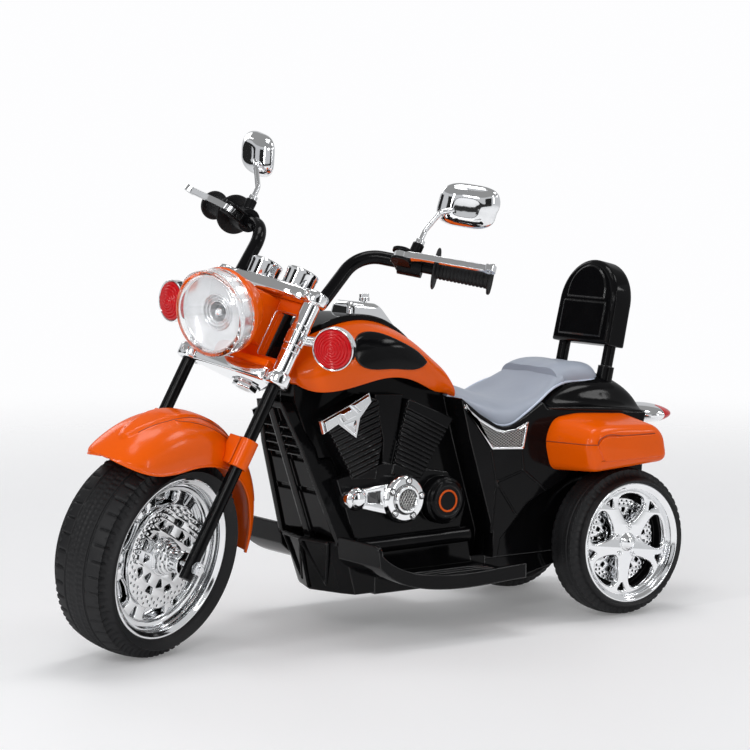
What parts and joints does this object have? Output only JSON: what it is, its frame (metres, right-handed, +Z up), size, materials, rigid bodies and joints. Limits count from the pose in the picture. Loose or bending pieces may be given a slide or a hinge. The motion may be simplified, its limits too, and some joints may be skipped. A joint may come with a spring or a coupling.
{
  "type": "kids electric motorbike",
  "caption": "Child's ride-on electric cruiser trike with steered front fork, foot pedal drive, saddlebags and backrest.",
  "frame": {"origin": "on the floor, under the middle of the rear axle", "axes": "+X forward, +Y to the rider's left, +Z up; the steering is stored turned left as in the picture"},
  "size_m": [0.8306, 0.4055, 0.5546],
  "materials": {
    "body_black": "gloss black moulded plastic",
    "trim_black": "black plastic, a little softer gloss",
    "orange": "gloss orange plastic",
    "chrome": "vacuum plated plastic",
    "rim_chrome": "vacuum plated plastic wheel",
    "tyre_black": "blow moulded black tyre",
    "grip_black": "ribbed soft grip",
    "seat_grey": "bluish grey moulded seat",
    "lens_red": "red lens",
    "lens_clear": "clear lens",
    "steel": "zinc plated steel",
    "battery_grey": "sealed battery case",
    "gearbox_grey": "gear case and motor can"
  },
  "bodies": {
    "chassis": {"body_left": "body_black", "body_right": "body_black", "front_cowl": "body_black", "belly_pan": "body_black", "footboard_left": "body_black", "footboard_right": "body_black", "engine_left": "body_black", "engine_right": "body_black", "console_base": "body_black", "rear_fender": "body_black", "backrest_pad": "trim_black", "backrest_struts": "trim_black", "tank_panels": "trim_black", "charging_socket": "trim_black", "tank_left": "orange", "tank_right": "orange", "saddlebag_left": "orange", "saddlebag_right": "orange", "rocker_covers": "chrome", "primary_covers": "chrome", "console": "chrome", "tail_lamp_housing": "chrome", "side_grilles": "chrome", "seat": "seat_grey", "tail_lamp_lens": "lens_red", "rear_axle": "steel", "pedal_pin": "steel", "battery": "battery_grey", "gearbox": "gearbox_grey", "drive_motor": "gearbox_grey"},
    "clutch_lever": {"clutch_lever": "chrome"},
    "brake_lever": {"brake_lever": "chrome"},
    "mirror_left": {"mirror_left": "chrome"},
    "mirror_right": {"mirror_right": "chrome"},
    "front_wheel": {"front_tyre": "tyre_black", "front_rim": "rim_chrome"},
    "rear_wheel_left": {"rear_tyre_left": "tyre_black", "rear_rim_left": "rim_chrome"},
    "rear_wheel_right": {"rear_tyre_right": "tyre_black", "rear_rim_right": "rim_chrome"},
    "accelerator_pedal": {"accelerator_pedal": "trim_black"},
    "ignition_knob": {"ignition_knob": "chrome"},
    "direction_switch": {"direction_switch": "trim_black"},
    "steering": {"front_axle": "steel", "fork_tubes": "trim_black", "steering_stem": "steel", "lower_clamp": "chrome", "upper_clamp": "chrome", "clamp_bolts": "steel", "handlebars": "trim_black", "grips": "grip_black", "lever_perches": "trim_black", "headlight_shell": "orange", "headlight_reflector": "chrome", "headlight_lens": "lens_clear", "headlight_bracket": "orange", "indicator_housings": "chrome", "indicator_lenses": "lens_red", "gauge_pods": "chrome", "front_fender": "orange"}
  },
  "joints": [
    {"name": "steering_turn", "type": "hinge", "parent": "chassis", "child": "steering", "pos_m": [0.4185, 0, 0.31758], "axis": [-0.4909, 0, 0.8712], "range_deg": [-50, 8]},
    {"name": "front_wheel_spin", "type": "hinge", "parent": "steering", "child": "front_wheel", "pos_m": [0.56781, 0.01199, 0.11303], "axis": [-0.3264, 0.9272, -0.1839], "continuous": true},
    {"name": "rear_wheel_left_spin", "type": "hinge", "parent": "chassis", "child": "rear_wheel_left", "pos_m": [0, 0.104, 0.085], "axis": [0, 1, 0], "continuous": true},
    {"name": "rear_wheel_right_spin", "type": "hinge", "parent": "chassis", "child": "rear_wheel_right", "pos_m": [0, -0.104, 0.085], "axis": [0, 1, 0], "continuous": true},
    {"name": "clutch_lever_squeeze", "type": "hinge", "parent": "steering", "child": "clutch_lever", "pos_m": [0.31238, 0.11237, 0.42218], "axis": [-0.4103, -0.1971, 0.8904], "range_deg": [0, 6], "stiffness_Nm_per_rad": 0.3, "springref_deg": -8.59},
    {"name": "brake_lever_squeeze", "type": "hinge", "parent": "steering", "child": "brake_lever", "pos_m": [0.39043, -0.10939, 0.46616], "axis": [-0.5491, 0.1971, 0.8122], "range_deg": [-6, 0], "stiffness_Nm_per_rad": 0.3, "springref_deg": 8.59},
    {"name": "mirror_left_turn", "type": "hinge", "parent": "steering", "child": "mirror_left", "pos_m": [0.28162, 0.10152, 0.43297], "axis": [-0.4909, 0, 0.8712], "range_deg": [-30, 30]},
    {"name": "mirror_right_turn", "type": "hinge", "parent": "steering", "child": "mirror_right", "pos_m": [0.35837, -0.11652, 0.47621], "axis": [-0.4909, 0, 0.8712], "range_deg": [-30, 30]},
    {"name": "accelerator_press", "type": "hinge", "parent": "chassis", "child": "accelerator_pedal", "pos_m": [0.205, -0.1, 0.078], "axis": [0, 1, 0], "range_deg": [0, 9], "stiffness_Nm_per_rad": 1, "springref_deg": -11.46},
    {"name": "ignition_turn", "type": "hinge", "parent": "chassis", "child": "ignition_knob", "pos_m": [0.2835, 0, 0.36449], "axis": [0, 0, 1], "range_deg": [0, 60]},
    {"name": "direction_rock", "type": "hinge", "parent": "chassis", "child": "direction_switch", "pos_m": [0.146, -0.073, 0.181], "axis": [0, 0, 1], "range_deg": [-10, 10]}
  ]
}
